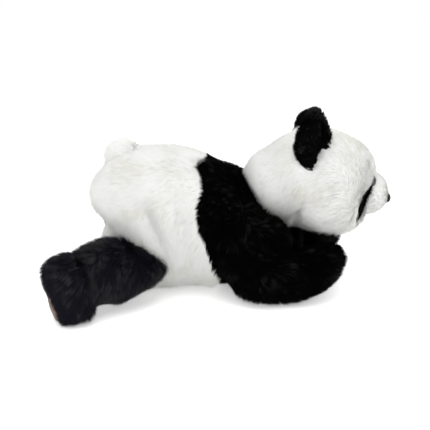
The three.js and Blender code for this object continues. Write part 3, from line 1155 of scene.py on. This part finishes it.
limbs = [*arm_surfaces.values(), *leg_surfaces.values()]
torso_keep = both(outside([head_surface, tail_surface, *limbs], 5), off_the_floor)


def white_part(points):
    return (points[:, 0] < seam_x(points)).astype(float)


def black_part(points):
    return (points[:, 0] >= seam_x(points)).astype(float)


for side, sign in (("left", 1), ("right", -1)):
    add_pile(
        f"torso_pile_{side}", torso_surface, WHITE_PILE, torso_flow, density=1.8, length=9, seed=11 + sign,
        keep=both(both(white_part, on_side(sign)), torso_keep), tone_bias=painted_crease_shade,
        stretch=longer_below(80, 55), **WHITE_LOOK,
    )
add_pile(
    "shoulder_band_pile", torso_surface, BLACK_PILE, torso_flow, density=1.8, length=9, seed=15,
    keep=both(black_part, torso_keep), tone_bias=painted_band_top_light, **BLACK_LOOK,
)
add_pile(
    "tail_pile", tail_surface, WHITE_PILE, torso_flow, density=1.5, length=8, seed=17,
    keep=outside([torso_surface], 5), **WHITE_LOOK,
)
clear_of_face = both(off_patch, outside([torso_surface, muzzle_surface], 5))
add_pile(
    "head_pile", head_surface, WHITE_PILE, head_flow, density=1.8, length=9, seed=19,
    keep=both(clear_of_face, outside(list(ear_surfaces.values()), -3.5)), tone_bias=painted_head_crease_shade,
    stretch=longer_below(110, 85), **WHITE_LOOK,
)
add_pile(
    "eye_patch_pile", head_surface, BLACK_PILE, head_flow, density=1.5, length=6, seed=21,
    keep=both(in_patch, outside([muzzle_surface], 3)), **BLACK_LOOK,
)
add_pile(
    "muzzle_pile", muzzle_surface, WHITE_PILE, head_flow, density=2.5, length=3.2, seed=23,
    keep=outside([head_surface], 5), **MUZZLE_LOOK,
)


def at_the_hip(points):
    """The top of the thigh, where the white pile of the hip hangs over it."""
    depth = torso_surface.depth(points)
    on_top = (points[:, 2] > 50) & (points[:, 0] > -106)
    return ((depth > -14) & (depth < 2) & on_top).astype(float)


def off_the_hip(points):
    return 1 - 0.8 * at_the_hip(points)


def sole_clear(side):
    """No strands grow where the sole is let into the foot."""
    surface = sole_surfaces[side]
    return lambda points: (surface.depth(points) < 0.2).astype(float)


for side, seed in (("left", 30), ("right", 50)):
    add_pile(
        f"{side}_arm_pile", arm_surfaces[side], BLACK_PILE, arm_flow, density=1.8, length=10, seed=seed,
        keep=both(off_the_floor, outside([torso_surface, head_surface], 7)), tone_bias=painted_arm_highlights, **BLACK_LOOK,
    )
    leg_keep = both(both(off_the_floor, sole_clear(side)), both(off_the_hip, outside([torso_surface], 7)))
    add_pile(
        f"{side}_leg_pile", leg_surfaces[side], INK_PILE, leg_flow, density=1.8, length=10, seed=seed + 2,
        keep=leg_keep, tone_bias=painted_leg_highlights, **BLACK_LOOK,
    )
    add_pile(
        f"{side}_hip_pile", leg_surfaces[side], WHITE_PILE, hip_flow, density=1.8, length=12, seed=seed + 8,
        keep=at_the_hip, **WHITE_LOOK,
    )
    off_the_head = outside([head_surface], -4)
    add_pile(
        f"{side}_ear_back_pile", ear_surfaces[side], EAR_PILE, ear_flow, density=2.2, length=4.5,
        seed=seed + 4, keep=both(off_the_head, outside([lining_surfaces[side]], 0)), tone_bias=ear_tone,
        **EAR_LOOK,
    )
    add_pile(
        f"{side}_ear_lining_pile", lining_surfaces[side], BLACK_PILE, ear_flow, density=2.2, length=3,
        seed=seed + 6, keep=both(off_the_head, outside([ear_surfaces[side]], 0)), **EAR_LOOK,
    )

# ---- Washers: the CAD's own, shown inside the head ----

WASHER_PLASTIC = add_mottle(
    plain_material("washer_plastic", (0.8, 0.79, 0.74), 0.4, specular=0.4),
    (0.74, 0.73, 0.68), (0.84, 0.83, 0.79), 400, 0.08, 1800,
)
for name in ("nose_washer", "left_eye_washer", "right_eye_washer"):
    set_material(bpy.data.objects[name], WASHER_PLASTIC)

# ---- What each piece rides on and stands for ----


def label(replaced):
    """Hides the CAD nodes that the piece stands for."""
    if replaced:
        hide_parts(*replaced)


def settle(obj, body, replaced=()):
    """A piece that rides on one body."""
    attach(obj, body)
    label(replaced)


def settle_blend(obj, body, start, end, slot, replaced=(), fill=None):
    """A piece between the torso and a limb: its transform is baked into its mesh and the CAD nodes that it
    stands for are hidden.
    """
    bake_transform(obj)
    label(replaced)


settle(torso_back, "torso", ["torso_cover_white", "torso_filling", "pellet_bag"])
settle(shoulder_band, "torso", ["shoulder_band_black"])
settle(head, "head", ["head_cover", "head_filling", "neck_wad"])
settle(muzzle, "head", ["muzzle_cover"])
settle(tail, "tail", ["tail_cover", "tail_filling"])
settle(nose, "head", ["nose"])
settle(left_eye, "head", ["left_eye"])
settle(right_eye, "head", ["right_eye"])
settle(left_patch, "head", ["left_eye_patch"])
settle(right_patch, "head", ["right_eye_patch"])
for side in ("left", "right"):
    settle(pile[f"torso_pile_{side}"], "torso")
settle(pile["shoulder_band_pile"], "torso")
settle(pile["tail_pile"], "tail")
settle(pile["head_pile"], "head")
settle(pile["eye_patch_pile"], "head")
settle(pile["muzzle_pile"], "head")

PAIRS = {
    "left": (1, left_arm, left_leg, left_sole, left_ear, left_lining),
    "right": (-1, right_arm, right_leg, right_sole, right_ear, right_lining),
}
for side, (sign, arm, leg, sole, ear, lining) in PAIRS.items():
    shoulder = ((10, sign * 40, 60), (26, sign * 74, 34))
    hip = ((-80, sign * 48, 42), (-98, sign * 84, 42))
    arm_nodes = [f"{side}_arm_cover", f"{side}_arm_filling"]
    leg_nodes = [f"{side}_leg_cover", f"{side}_leg_filling"]
    settle_blend(arm, f"{side}_arm", *shoulder, "black_plush", arm_nodes, 0.7)
    settle_blend(pile[f"{side}_arm_pile"], f"{side}_arm", *shoulder, "black_plush")
    settle_blend(leg, f"{side}_leg", *hip, "black_plush", leg_nodes, 0.7)
    settle_blend(pile[f"{side}_leg_pile"], f"{side}_leg", *hip, "black_plush")
    settle_blend(pile[f"{side}_hip_pile"], f"{side}_leg", *hip, "white_plush")
    settle(sole, f"{side}_leg", [f"{side}_sole"])
    settle(ear, f"{side}_ear", [f"{side}_ear_back"])
    settle(lining, f"{side}_ear", [f"{side}_ear_lining"])
    settle(pile[f"{side}_ear_back_pile"], f"{side}_ear")
    settle(pile[f"{side}_ear_lining_pile"], f"{side}_ear")
